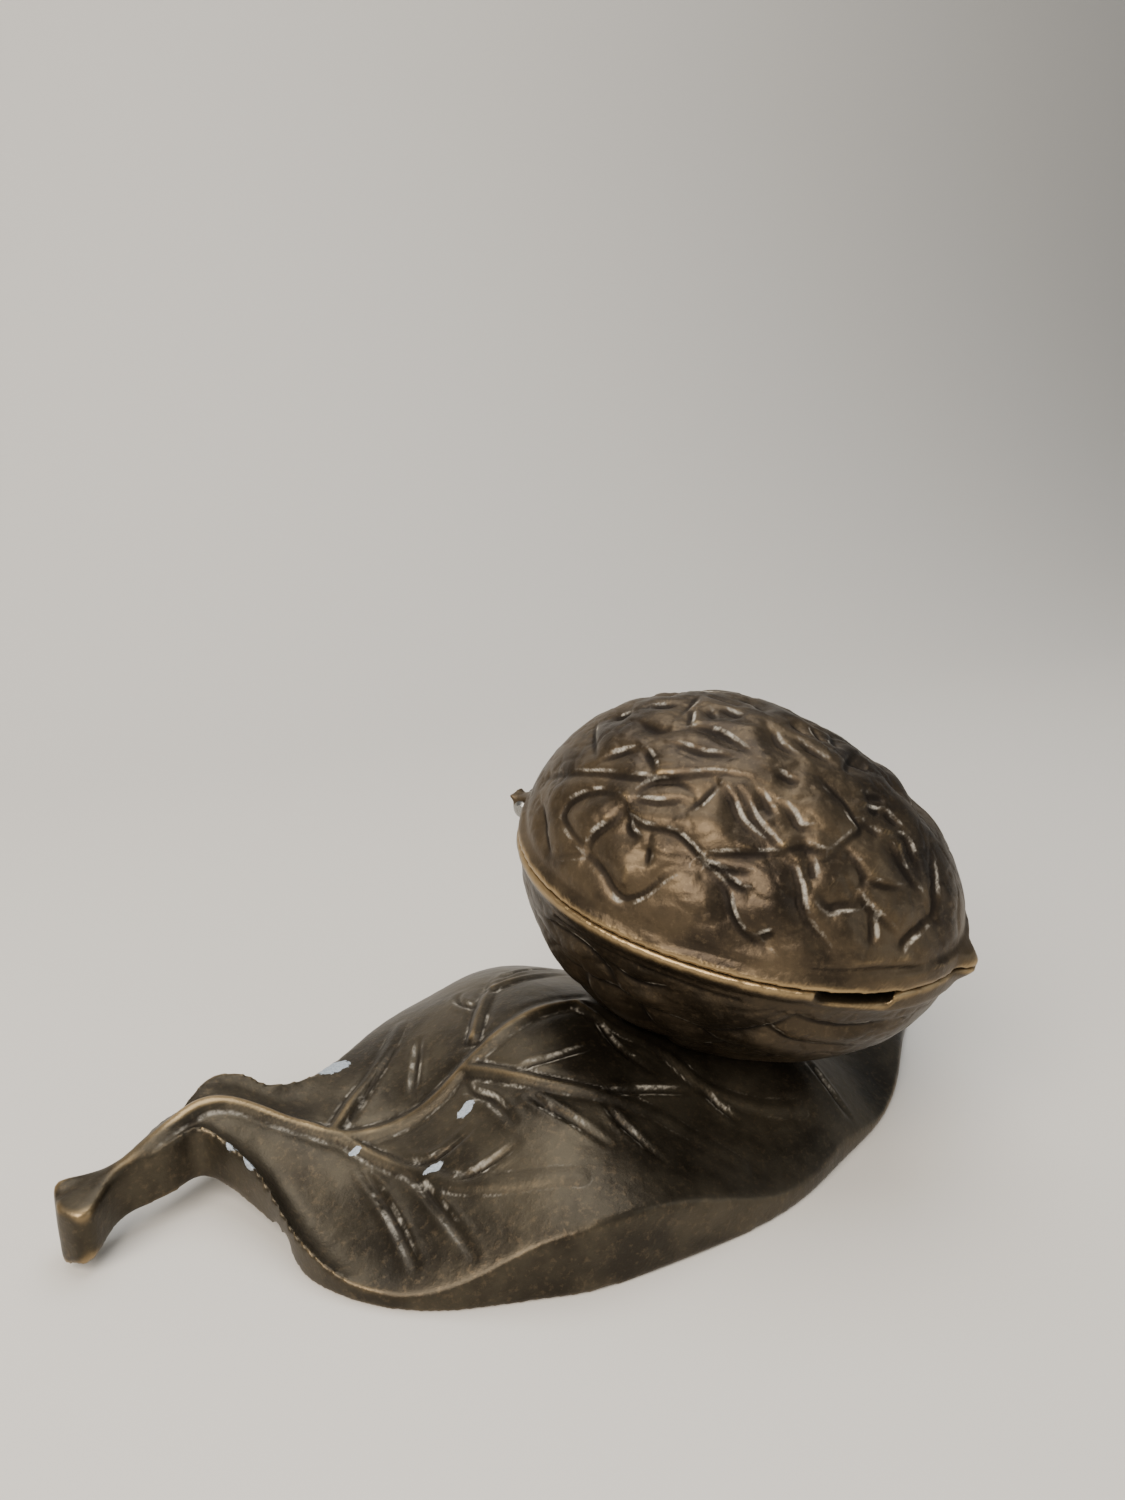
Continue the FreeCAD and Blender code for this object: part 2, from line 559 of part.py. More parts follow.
def leaf_section(station, inset, floor):
    """One cross section of the leaf as a closed wire; inset is 0 for the outside."""
    midrib, front, back, front_lift, back_lift = station
    drop = Vector(0, 0, -inset)
    shift = Vector(0, inset, 0)
    middle = Vector(*midrib) + drop
    front_top = Vector(*front[:3]) + shift + drop
    back_top = Vector(*back[:3]) - shift + drop
    front_low = Vector(front_top.x, front_top.y, front[3] + floor)
    back_low = Vector(back_top.x, back_top.y, back[3] + floor)
    top = Part.BSplineCurve()
    top.interpolate([front_top, middle_of(front_top, middle, front_lift), middle,
                     middle_of(middle, back_top, back_lift), back_top])
    return Part.Wire([
        top.toShape(),
        Part.makeLine(back_top, back_low),
        Part.makeLine(back_low, front_low),
        Part.makeLine(front_low, front_top),
    ])


def build_leaf():
    """The leaf casting: a loft through the stations, hollow from below, with the walnut's seat."""
    outside = Part.makeLoft([leaf_section(s, 0.0, 0.0) for s in STATIONS], True, False)
    wall = sheet.get("leaf_wall")
    ribs = list(STATIONS[FIRST_HOLLOW:LAST_HOLLOW + 1])
    ribs[0] = squared(ribs[0])
    ribs[-1] = squared(ribs[-1])
    hollow_shape = Part.makeLoft([leaf_section(s, wall, -6.0) for s in ribs], True, False)
    blade = doc.addObject("Part::Feature", "LeafOutside")
    blade.Shape = outside
    hollow = doc.addObject("Part::Feature", "LeafHollow")
    hollow.Shape = hollow_shape
    for item in (blade, hollow):
        place(item, y="leaf_y", in_walnut=False)
    table = box("LeafTable", "-200", "-200", "-20", "400", "400", "20")
    cast = cut("LeafCast", cut("LeafShell", blade, hollow), table)
    seat = cylinder("LeafSeat", "0", "0", "0", "seat_radius", "seat_thick")
    place(seat, z="foot_level - seat_thick")
    holes = []
    for name, x in shell_bolt_positions():
        hole = cylinder(f"LeafBoltHole{name}", "0", "0", "0", "bolt_radius + bolt_hole_gap", "40")
        place(hole, x, z="foot_level - seat_thick - 1")
        holes.append(hole)
        room = cylinder(f"LeafBoltRoom{name}", "0", "0", "0", "washer_radius + 1.5", "40")
        place(room, x, z="foot_level - seat_thick - 40")
        holes.append(room)
    above = cylinder("LeafSeatRoom", "0", "0", "0", "foot_radius + 0.5", "40")
    place(above, z="foot_level")
    cradle = walnut_solid("LeafCradle", "cradle_gap")
    cradle.setExpression("Placement.Base.z", None)
    place(cradle, z="-1 * nut_axis_drop")
    rooms = join("LeafRooms", above, cradle, *holes)
    trimmed = cut("LeafTrimmed", cast, rooms)
    seat_block = cut("LeafSeatBlock", seat, rooms)
    doc.recompute()
    # Part::Fuse drops the seat here, so the two are joined by code.
    joined = trimmed.Shape.fuse(seat_block.Shape)
    leaf = doc.addObject("Part::Feature", "leaf_base")
    leaf.Shape = joined.Solids[0]
    if leaf.Shape.Volume < trimmed.Shape.Volume + seat_block.Shape.Volume / 2:
        raise RuntimeError("leaf_base lost its seat")
    return leaf


# ------------------------------------------------------------------------------------- build

nodes = [build_leaf(), build_lower_shell(), build_upper_shell(), *build_hinge()]
nodes += [build_jaw("lower_jaw", -1), build_jaw("upper_jaw", 1)]
nodes += build_jaw_screws("lower", -1) + build_jaw_screws("upper", 1)
nodes += build_shell_bolts()
doc.recompute()

for item in doc.Objects:
    if {"Invalid", "Error"} & set(item.State):
        raise RuntimeError(f"{item.Label} failed: {item.State}")
os.makedirs("parts", exist_ok=True)
for node in nodes:
    node.Label = node.Name
    shape = node.Shape
    if shape.isNull() or not shape.isValid():
        raise RuntimeError(f"{node.Label} has no valid shape")
    if len(shape.Solids) != 1:
        raise RuntimeError(f"{node.Label} has {len(shape.Solids)} solids")
    shape.exportStep(f"parts/{node.Label}.step")
    size = shape.optimalBoundingBox(False)
    print(f"{node.Label:24s} {shape.Volume:10.1f} mm3 "
          f"x {size.XMin:7.1f} {size.XMax:7.1f} y {size.YMin:7.1f} {size.YMax:7.1f} "
          f"z {size.ZMin:6.1f} {size.ZMax:6.1f}")
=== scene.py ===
import math

import bmesh
import bpy
import numpy as np
from mathutils import Euler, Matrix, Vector, noise
from mathutils.bvhtree import BVHTree


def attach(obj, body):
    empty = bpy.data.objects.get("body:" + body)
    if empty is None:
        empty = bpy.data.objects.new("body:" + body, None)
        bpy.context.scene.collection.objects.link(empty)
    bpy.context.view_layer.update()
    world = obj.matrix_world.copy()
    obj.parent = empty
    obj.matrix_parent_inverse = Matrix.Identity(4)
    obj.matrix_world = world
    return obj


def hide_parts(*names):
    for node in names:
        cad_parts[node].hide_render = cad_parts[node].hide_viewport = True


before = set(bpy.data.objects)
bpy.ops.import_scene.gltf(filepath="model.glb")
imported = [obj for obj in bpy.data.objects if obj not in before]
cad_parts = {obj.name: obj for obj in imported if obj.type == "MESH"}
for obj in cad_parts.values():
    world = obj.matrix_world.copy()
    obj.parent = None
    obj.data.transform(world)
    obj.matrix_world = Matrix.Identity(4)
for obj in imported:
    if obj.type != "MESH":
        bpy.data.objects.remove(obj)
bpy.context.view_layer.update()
MM = 0.001


# ------------------------------------------------------------------------------ leaf casting
# The stand is one thin aluminium casting: a curled leaf with raised veins, hollow from below,
# with the walnut's seat cast in one with it. It is stained dark bronze and then rubbed, so that
# the stain stays in the creases and the crests show a warm gold. The creases and hollows are
# also darkened further as painted shade.

LEAF_GRAIN = 0.90          # mm between neighbouring points of the relief
MIDRIB_HEIGHT = 1.3        # mm
SIDE_VEIN_HEIGHT = 1.0
CREASE_DEPTH = 0.75

# Each vein runs through a few points (x, y) in mm, seen from above, from its thick end.
MIDRIB = [(-134, 9), (-120, 12), (-104, 19), (-97, 21.5), (-90, 20.5), (-83, 17), (-75, 11.5),
          (-65, 5), (-52, 2.5), (-42, 2), (-30, 4), (-18, 6.5), (-5, 8.5), (8, 9), (40, 7),
          (80, 7), (124, 7)]
SIDE_VEINS = [
    [(-66, 4.5), (-60, -6.5), (-54, -17), (-48, -28), (-38, -38), (-25, -46.5)],
    [(-33, 3), (-21.5, -17), (-5, -29), (4, -34.5), (20, -49)],
    [(3.5, 9), (9.5, -4), (18, -12), (24, -26), (36, -35), (46, -39)],
    [(-67.5, 8), (-60.5, 16), (-52, 23), (-45, 30), (-37.5, 40)],
    [(-27, 11), (-21, 20), (-14, 29), (-7, 38), (-2, 45)],
    [(-12, 31), (5, 36), (17, 40)],
    [(62, 6), (72, -8), (84, -16)],
    [(60, 8), (74, 20), (90, 24)],
    [(20, 9), (34, 30), (52, 45)],
]
CREASES = [
    [(-65, -6), (-64, -17), (-63.5, -28), (-63.5, -39)],
    [(-57, -12), (-55, -21), (-54, -30), (-52, -46)],
    [(-57, -9), (-50, -16), (-40, -16.5)],
    [(-50, -26), (-42, -29), (-34, -30)],
    [(-34, 1), (-35, -6), (-32.5, -14), (-31.5, -24)],
    [(-25, -20), (-22, -28), (-15, -41)],
    [(-9, -31), (-8, -37), (-4, -47)],
    [(-28, -9), (-15, -12), (-2, -11)],
    [(-9, -27), (4, -27), (18, -27)],
    [(6, 3), (5, -10), (10, -20)],
    [(23, -27), (24, -32), (27, -37)],
    [(59, -27), (60, -34), (62, -41)],
    [(-64, 8), (-55, 18), (-43, 29)],
    [(-45, 10), (-41, 18), (-37, 26)],
    [(-8, 38), (8, 46), (20, 50)],
    [(-20, 22), (-22, 32), (-20, 38)],
    [(40, 28), (56, 30), (66, 36)],
    [(74, 4), (90, 6), (106, 4)],
]
# Where the stain has chipped to the bare metal: x, y, then half length and half width in mm.
CHIPS = [(-61, 33, 7.0, 3.2), (-38, -9.5, 2.8, 2.2), (-97, 6, 5.0, 2.6), (-92, 0, 3.4, 2.2),
         (-65, -1, 2.2, 1.2), (-51, -19, 3.2, 1.6)]


def smooth_line(points, steps=7):
    """A smooth line through the given points, as an array with a few steps per stretch."""
    ends = [points[0]] + list(points) + [points[-1]]
    knots = np.array(ends, float)
    line = []
    for i in range(1, len(knots) - 2):
        for part in np.linspace(0, 1, steps, endpoint=False):
            before, start, stop, after = knots[i - 1:i + 3]
            line.append(0.5 * (2 * start + (stop - before) * part
                               + (2 * before - 5 * start + 4 * stop - after) * part ** 2
                               + (3 * start - before - 3 * stop + after) * part ** 3))
    line.append(knots[-1])
    return np.array(line)


def distance_along(places, line, outward=None):
    """Each place's distance to a line, how far along the line it is, from 0 to 1, and its side."""
    nearest = np.full(len(places), 1e9)
    along = np.zeros(len(places))
    low, high = line.min(axis=0) - 16, line.max(axis=0) + 16
    close = np.where(((places > low) & (places < high)).all(axis=1))[0]
    spots = places[close]
    best = np.full(len(close), 1e9)
    part_of = np.zeros(len(close))
    side = np.zeros(len(places))
    side_of = np.zeros(len(close))
    for i in range(len(line) - 1):
        run = line[i + 1] - line[i]
        reach = np.clip(((spots - line[i]) @ run) / max(run @ run, 1e-9), 0, 1)
        gap = np.linalg.norm(spots - line[i] - reach[:, None] * run, axis=1)
        better = gap < best
        best[better] = gap[better]
        if outward is not None:
            across = np.cross(outward[close[better]], run)
            side_of[better] = np.sign(((spots[better] - line[i]) * across).sum(axis=1))
        part_of[better] = (i + reach[better]) / (len(line) - 1)
    nearest[close] = best
    along[close] = part_of
    side[close] = side_of
    return nearest, along, side


def smoothstep(value, start, stop):
    """Rises smoothly from 0 at start to 1 at stop."""
    part = np.clip((value - start) / (stop - start), 0, 1)
    return part * part * (3 - 2 * part)


def hill(value, width):
    """1 where the value is 0, falling away on both sides over the width."""
    return np.exp(-(value / width) ** 2)


def grain_noise(places, size, seed):
    """Soft noise from -1 to 1 with features of the given size in mm."""
    shift = Vector((seed * 7.3, seed * 3.1, seed * 5.7))
    return np.array([noise.noise(Vector(place) / size + shift) for place in places])


def points_of(mesh):
    """The mesh's points in mm and its normals, as arrays."""
    count = len(mesh.vertices)
    places = np.empty(count * 3)
    normals = np.empty(count * 3)
    mesh.vertices.foreach_get("co", places)
    mesh.vertices.foreach_get("normal", normals)
    return places.reshape(-1, 3) / MM, normals.reshape(-1, 3)


def set_points(mesh, places):
    """Moves the mesh's points to the given places in mm."""
    mesh.vertices.foreach_set("co", (places * MM).ravel())
    mesh.update()


def averaged(mesh, values, rounds):
    """The values, one row per point, averaged with the neighbours' a few times over."""
    pairs = np.empty(len(mesh.edges) * 2, int)
    mesh.edges.foreach_get("vertices", pairs)
    first, second = pairs.reshape(-1, 2).T
    touching = np.maximum(np.bincount(pairs, minlength=len(values)), 1)
    spread = values.copy()
    for _ in range(rounds):
        for column in range(spread.shape[1]):
            total = np.bincount(first, spread[second, column], len(values))
            total += np.bincount(second, spread[first, column], len(values))
            spread[:, column] = total / touching
    return spread


def crests(mesh, rounds):
    """How far each point stands out from its neighbours, in mm: positive on an edge."""
    places, normals = points_of(mesh)
    stand_out = ((places - averaged(mesh, places, rounds)) * normals).sum(axis=1)
    return averaged(mesh, stand_out[:, None], 3)[:, 0]


def soften(mesh, rounds):
    """Rounds the edges that a casting can't hold sharp."""
    places = points_of(mesh)[0]
    set_points(mesh, 0.3 * places + 0.7 * averaged(mesh, places, rounds))


def fine_copy(node, name, spacing):
    """A copy of a CAD node with even points, each set back onto the node's own surface."""
    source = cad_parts[node]
    mesh = source.data.copy()
    merged = bmesh.new()
    merged.from_mesh(mesh)
    bmesh.ops.remove_doubles(merged, verts=merged.verts, dist=1e-6)
    surface = BVHTree.FromBMesh(merged)
    merged.to_mesh(mesh)
    merged.free()
    piece = bpy.data.objects.new(name, mesh)
    bpy.context.scene.collection.objects.link(piece)
    even = piece.modifiers.new("even points", "REMESH")
    even.mode = "VOXEL"
    even.voxel_size = spacing * MM
    evaluated = piece.evaluated_get(bpy.context.evaluated_depsgraph_get())
    fine = bpy.data.meshes.new_from_object(evaluated)
    piece.modifiers.clear()
    piece.data = fine
    for vertex in fine.vertices:
        found = surface.find_nearest(vertex.co, 2 * spacing * MM)[0]
        if found is not None:
            vertex.co = found
    soften(fine, 4)
    fine.materials.clear()
    fine.shade_smooth()
    return piece


def keep_marks(mesh, **marks):
    """Stores one number per point under each name, for the stain to read."""
    for name, values in marks.items():
        mark = mesh.attributes.new(name, "FLOAT", "POINT")
        mark.data.foreach_set("value", np.clip(values, 0, 1).astype(np.float32))


# The walnut's own frame, and its shape about its long axis, in mm.
NUT_CENTRE = np.array([44.8, -8.0, 72.5])
NUT_TURN = np.array(Euler((math.radians(5.4), math.radians(11), math.radians(-59))).to_matrix())
NUT_WIDEST, NUT_REAR, NUT_FRONT, NUT_RADIUS, NUT_DROP = -8.0, 54.0, 70.0, 49.0, 2.6


def in_nut(places):
    """Places in mm in the walnut's own frame: x from hinge to tip, z out of the seam."""
    return (places - NUT_CENTRE) @ NUT_TURN


def nut_reach(x):
    """The walnut's radius about its long axis, at x along it."""
    half = np.where(x < NUT_WIDEST, NUT_REAR, NUT_FRONT)
    return NUT_RADIUS * np.sqrt(np.clip(1 - ((x - NUT_WIDEST) / half) ** 2, 0.004, 1))


# Where the stem's arch comes down to the table, in mm. The low edge is finer than the grain
# there, so even points leave teeth in it, and they are averaged away over this reach.
ARCH_FOOT = (-87, -12, 4)
ARCH_REACH = 6.0
ARCH_ROUNDS = 45

leaf = fine_copy("leaf_base", "leaf_casting", LEAF_GRAIN)
places = points_of(leaf.data)[0]
filed = hill(np.linalg.norm(places - ARCH_FOOT, axis=1), ARCH_REACH)[:, None]
set_points(leaf.data, places + filed * (averaged(leaf.data, places, ARCH_ROUNDS) - places))
places, normals = points_of(leaf.data)
plan = places[:, :2]
nut_places = in_nut(places)
over_axis = np.hypot(nut_places[:, 1], nut_places[:, 2] + NUT_DROP)
off_nut = over_axis - nut_reach(nut_places[:, 0])
off_nut[np.abs(nut_places[:, 0] - NUT_WIDEST) > 62] = 20
show = smoothstep(normals[:, 2], 0.12, 0.5) * smoothstep(off_nut, 1.4, 4.0)
gap, along, _ = distance_along(plan, smooth_line(MIDRIB))
fade = (1 - 0.45 * along) * smoothstep(plan[:, 0], -126, -100)
ridge = MIDRIB_HEIGHT * fade * hill(gap, 1.9)
trench = 0.45 * MIDRIB_HEIGHT * fade * hill(gap - 3.6, 1.5)
# The crease mark darkens the stain beside the veins and along the creases: partly stain settled
# there, partly painted shade.
crease = np.zeros(len(places))
crease = np.maximum(crease, 0.75 * fade * hill(gap - 2.9, 1.0))
residue = 0.9 * fade * hill(gap - 3.3, 0.8)
for vein in SIDE_VEINS:
    gap, along, _ = distance_along(plan, smooth_line(vein))
    fade = 1 - 0.8 * along
    ridge = np.maximum(ridge, SIDE_VEIN_HEIGHT * fade * hill(gap, 1.5))
    trench = np.maximum(trench, 0.5 * SIDE_VEIN_HEIGHT * fade * hill(gap - 2.9, 1.2))
    crease = np.maximum(crease, (0.30 + 0.5 * fade) * hill(gap - 2.2, 0.9))
    residue = np.maximum(residue, (0.35 + 0.6 * fade) * hill(gap - 2.7, 0.65))
for line in CREASES:
    gap, along, _ = distance_along(plan, smooth_line(line))
    fade = np.sin(math.pi * np.clip(0.12 + 0.8 * along, 0, 1))
    ridge = np.maximum(ridge, 0.5 * CREASE_DEPTH * fade * hill(gap - 2.0, 1.0))
    trench = np.maximum(trench, CREASE_DEPTH * fade * hill(gap, 0.9))
    crease = np.maximum(crease, 0.8 * fade * hill(gap, 0.9))
    residue = np.maximum(residue, fade * hill(gap - 1.2, 0.7))
clear = 1 - smoothstep(ridge, 0.25, 0.7)
crease *= clear
residue *= clear
raised = ridge - trench * clear
raised += 0.22 * grain_noise(places, 11, 1) + 0.07 * grain_noise(places, 3.2, 2)
places += normals * (raised * show)[:, None]
skirt = (1 - show) * smoothstep(normals[:, 2], -0.3, 0.0)
places += normals * (0.16 * grain_noise(places, 7, 3) * skirt * smoothstep(off_nut, 3, 6)
                     * smoothstep(places[:, 2], 1.0, 4.0))[:, None]
set_points(leaf.data, places)
edge = crests(leaf.data, 4)
chipped = np.zeros(len(places))
for x, y, length, width in CHIPS:
    inside = np.hypot((plan[:, 0] - x) / length, (plan[:, 1] - y) / width)
    chipped = np.maximum(chipped, 1.35 - inside)
# The crease mark also takes the concave hollows from the curvature, darkened as painted shade.
keep_marks(leaf.data,
           crease=crease * show + smoothstep(-edge, 0.10, 0.40) * 0.4,
           residue=residue * show,
           rubbed=smoothstep(edge, 0.10, 0.45) + 0.35 * smoothstep(raised * show, 0.3, 1.2),
           chipped=chipped * smoothstep(normals[:, 2], -0.2, 0.3))


def linear(hex_colour):
    """A colour given as sRGB hex, as the linear numbers that a shader takes."""
    shares = [int(hex_colour[i:i + 2], 16) / 255 for i in (1, 3, 5)]
    return [c / 12.92 if c <= 0.04045 else ((c + 0.055) / 1.055) ** 2.4 for c in shares] + [1.0]


def add(tree, kind, inputs=(), **settings):
    """Adds one node: inputs are (socket, value or output) pairs, settings its own properties."""
    node = tree.nodes.new(kind)
    for name, value in settings.items():
        setattr(node, name, value)
    for socket, value in inputs:
        if isinstance(value, bpy.types.NodeSocket):
            tree.links.new(value, node.inputs[socket])
        else:
            node.inputs[socket].default_value = value
    return node


def per_metre(size_mm):
    """A noise node's scale for features of that size."""
    return 1 / (size_mm * MM)


def stained_metal(name, stain_deep, stain_thin, rub_strength, chalk_amount):
    """Cast aluminium, stained bronze by hand and rubbed back.

    The stain is uneven and semi-matt; crests are rubbed to a warm satin gold, creases stay
    nearly black, partly from stain and partly as painted shade, and a chalky bloom has dried in
    them over the years.
    """
    material = bpy.data.materials.new(name)
    material.use_nodes = True
    tree = material.node_tree
    tree.nodes.clear()
    place = add(tree, "ShaderNodeTexCoord").outputs["Object"]
    cloud = add(tree, "ShaderNodeTexNoise", [("Vector", place), ("Scale", per_metre(24)),
                                            ("Detail", 5.0), ("Roughness", 0.6)])
    speck = add(tree, "ShaderNodeTexNoise", [("Vector", place), ("Scale", per_metre(1.7)),
                                            ("Detail", 4.0), ("Roughness", 0.65)])
    grit = add(tree, "ShaderNodeTexNoise", [("Vector", place), ("Scale", per_metre(0.6)),
                                           ("Detail", 2.0)])
    crease_mark = add(tree, "ShaderNodeAttribute", attribute_name="crease").outputs["Fac"]
    residue_mark = add(tree, "ShaderNodeAttribute", attribute_name="residue").outputs["Fac"]
    rubbed_mark = add(tree, "ShaderNodeAttribute", attribute_name="rubbed").outputs["Fac"]
    chipped_mark = add(tree, "ShaderNodeAttribute", attribute_name="chipped").outputs["Fac"]

    def ramp(value, low, high):
        return add(tree, "ShaderNodeMapRange", [("Value", value), ("From Min", low),
                                                ("From Max", high)],
                   interpolation_type="SMOOTHSTEP").outputs["Result"]

    def times(first, second):
        return add(tree, "ShaderNodeMath", [(0, first), (1, second)],
                   operation="MULTIPLY").outputs[0]

    def blend(share, first, second):
        return add(tree, "ShaderNodeMix", [(0, share), (6, first), (7, second)],
                   data_type="RGBA").outputs[2]

    def between(share, first, second):
        return add(tree, "ShaderNodeMix", [(0, share), (2, first), (3, second)]).outputs[0]

    stain = blend(ramp(cloud.outputs["Fac"], 0.34, 0.66), linear(stain_deep), linear(stain_thin))
    stain = blend(times(ramp(speck.outputs["Fac"], 0.5, 0.75), 0.35), stain, linear("#6F5F49"))
    worn = times(ramp(rubbed_mark, 0.05, 0.9), rub_strength)
    stain = blend(worn, stain, linear("#B49A70"))
    # Near black in the creases and hollows: partly the stain settled there, partly painted shade.
    crease_stain_and_shade_share = ramp(crease_mark, 0.25, 0.95)
    stain = blend(times(crease_stain_and_shade_share, 0.8), stain, linear("#15100C"))
    streak = add(tree, "ShaderNodeTexNoise", [("Vector", place), ("Scale", per_metre(6)),
                                             ("Detail", 3.0), ("Distortion", 0.6)])
    bloom_noise = ramp(streak.outputs["Fac"], 0.44, 0.62)
    crumbs = between(ramp(speck.outputs["Fac"], 0.36, 0.58), 0.25, 1.0)
    bloom = times(times(ramp(residue_mark, 0.30, 0.95), bloom_noise), chalk_amount)
    bloom = times(bloom, crumbs)
    stain = blend(bloom, stain, linear("#A09B90"))
    flake_edge = add(tree, "ShaderNodeMath", [(0, chipped_mark), (1, speck.outputs["Fac"])],
                     operation="ADD").outputs[0]
    bare = ramp(flake_edge, 0.98, 1.10)
    bare_colour = blend(grit.outputs["Fac"], linear("#6E7C8A"), linear("#C3CBD2"))
    stain = blend(bare, stain, bare_colour)

    metallic = between(bloom, 0.82, 0.0)
    metallic = between(bare, metallic, 0.35)
    rough = between(ramp(cloud.outputs["Fac"], 0.3, 0.7), 0.36, 0.46)
    rough = between(worn, rough, 0.27)
    rough = between(crease_stain_and_shade_share, rough, 0.62)
    rough = between(bloom, rough, 0.9)
    rough = between(bare, rough, 0.7)
    fine_bump = add(tree, "ShaderNodeBump", [("Height", grit.outputs["Fac"]), ("Strength", 0.16),
                                            ("Distance", 0.2 * MM)])
    soft_bump = add(tree, "ShaderNodeBump", [("Height", speck.outputs["Fac"]), ("Strength", 0.30),
                                            ("Distance", 0.35 * MM),
                                            ("Normal", fine_bump.outputs[0])])
    shader = add(tree, "ShaderNodeBsdfPrincipled", [
        ("Base Color", stain), ("Metallic", metallic), ("Roughness", rough),
        ("Normal", soft_bump.outputs[0])])
    add(tree, "ShaderNodeOutputMaterial", [("Surface", shader.outputs[0])])
    return material


leaf.data.materials.append(stained_metal("bronze_stained_leaf_casting", "#2D2820", "#4C4538",
                                         0.62, 0.85))
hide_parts("leaf_base")
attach(leaf, "base")


# ------------------------------------------------------------------------- walnut, lower shell
# The walnut's lower half is a thin bowl of the same aluminium, cast with its wrinkles and
# with a rolled lip along the seam, stained and rubbed like the leaf, and bolted to its seat.

CUP_GRAIN = 0.80           # mm between neighbouring points of the relief
LOBE_HEIGHT = 1.9          # how far a lobe swells between two furrows
FURROW_DEPTH = 0.55
FURROW_STEP = 0.45         # how far one side of a furrow stands over the other
SKIN_DEPTH = 2.3           # how far under the full radius still counts as the outside
HINGE_END = -60            # mm along the walnut: behind this is the hinge, which stays plain
FLANGE_TOP = 4.2           # mm off the seam where the wrinkles start
FULL_RELIEF = 9.0          # mm off the seam where they reach their full depth

# Each furrow runs through a few points: mm along the walnut from its widest place's datum,
# and degrees round its long axis, from 0 at the near seam to 180 at the far one.
LOWER_FURROWS = [
    [(-38, 18), (-27, 24), (-21, 24), (-9, 22), (-4, 24), (4, 24), (10, 25), (18, 32), (26, 38)],
    [(10, 25), (18, 25), (29, 19), (35, 11)],
    [(-12, 10), (-4, 13), (6, 10)],
    [(-30, 10), (-20, 9), (-12, 15), (-9, 22)],
    [(-46, 24), (-38, 36), (-30, 44)],
    [(-4, 24), (0, 34), (8, 41)],
    [(14, 42), (18, 46), (24, 46)],
    [(35, 11), (44, 18), (54, 22)],
    [(29, 19), (38, 30), (46, 38)],
    [(-21, 24), (-20, 36), (-14, 46)],
    [(8, 41), (16, 38), (22, 33)],
    [(-30, 44), (-22, 40), (-20, 36)],
    [(-14, 46), (-4, 49), (8, 41)],
    [(26, 38), (30, 46), (26, 54)],
    [(-2, 62), (-4, 54), (-4, 49)],
]


def other_side(furrows, shift):
    """The same kind of furrows for the side turned away, moved along so they don't mirror."""
    return [[(shift - 0.92 * x, 180 - turn) for x, turn in line] for line in furrows]


def furrow_line(points, up):
    """A furrow as a smooth line on the walnut's surface, in the walnut's frame."""
    line = smooth_line(points, 6)
    x = np.clip(line[:, 0], -61, 60)
    turn = np.radians(line[:, 1])
    reach = nut_reach(x)
    return np.stack([x, -reach * np.cos(turn), up * reach * np.sin(turn) - NUT_DROP], axis=1)


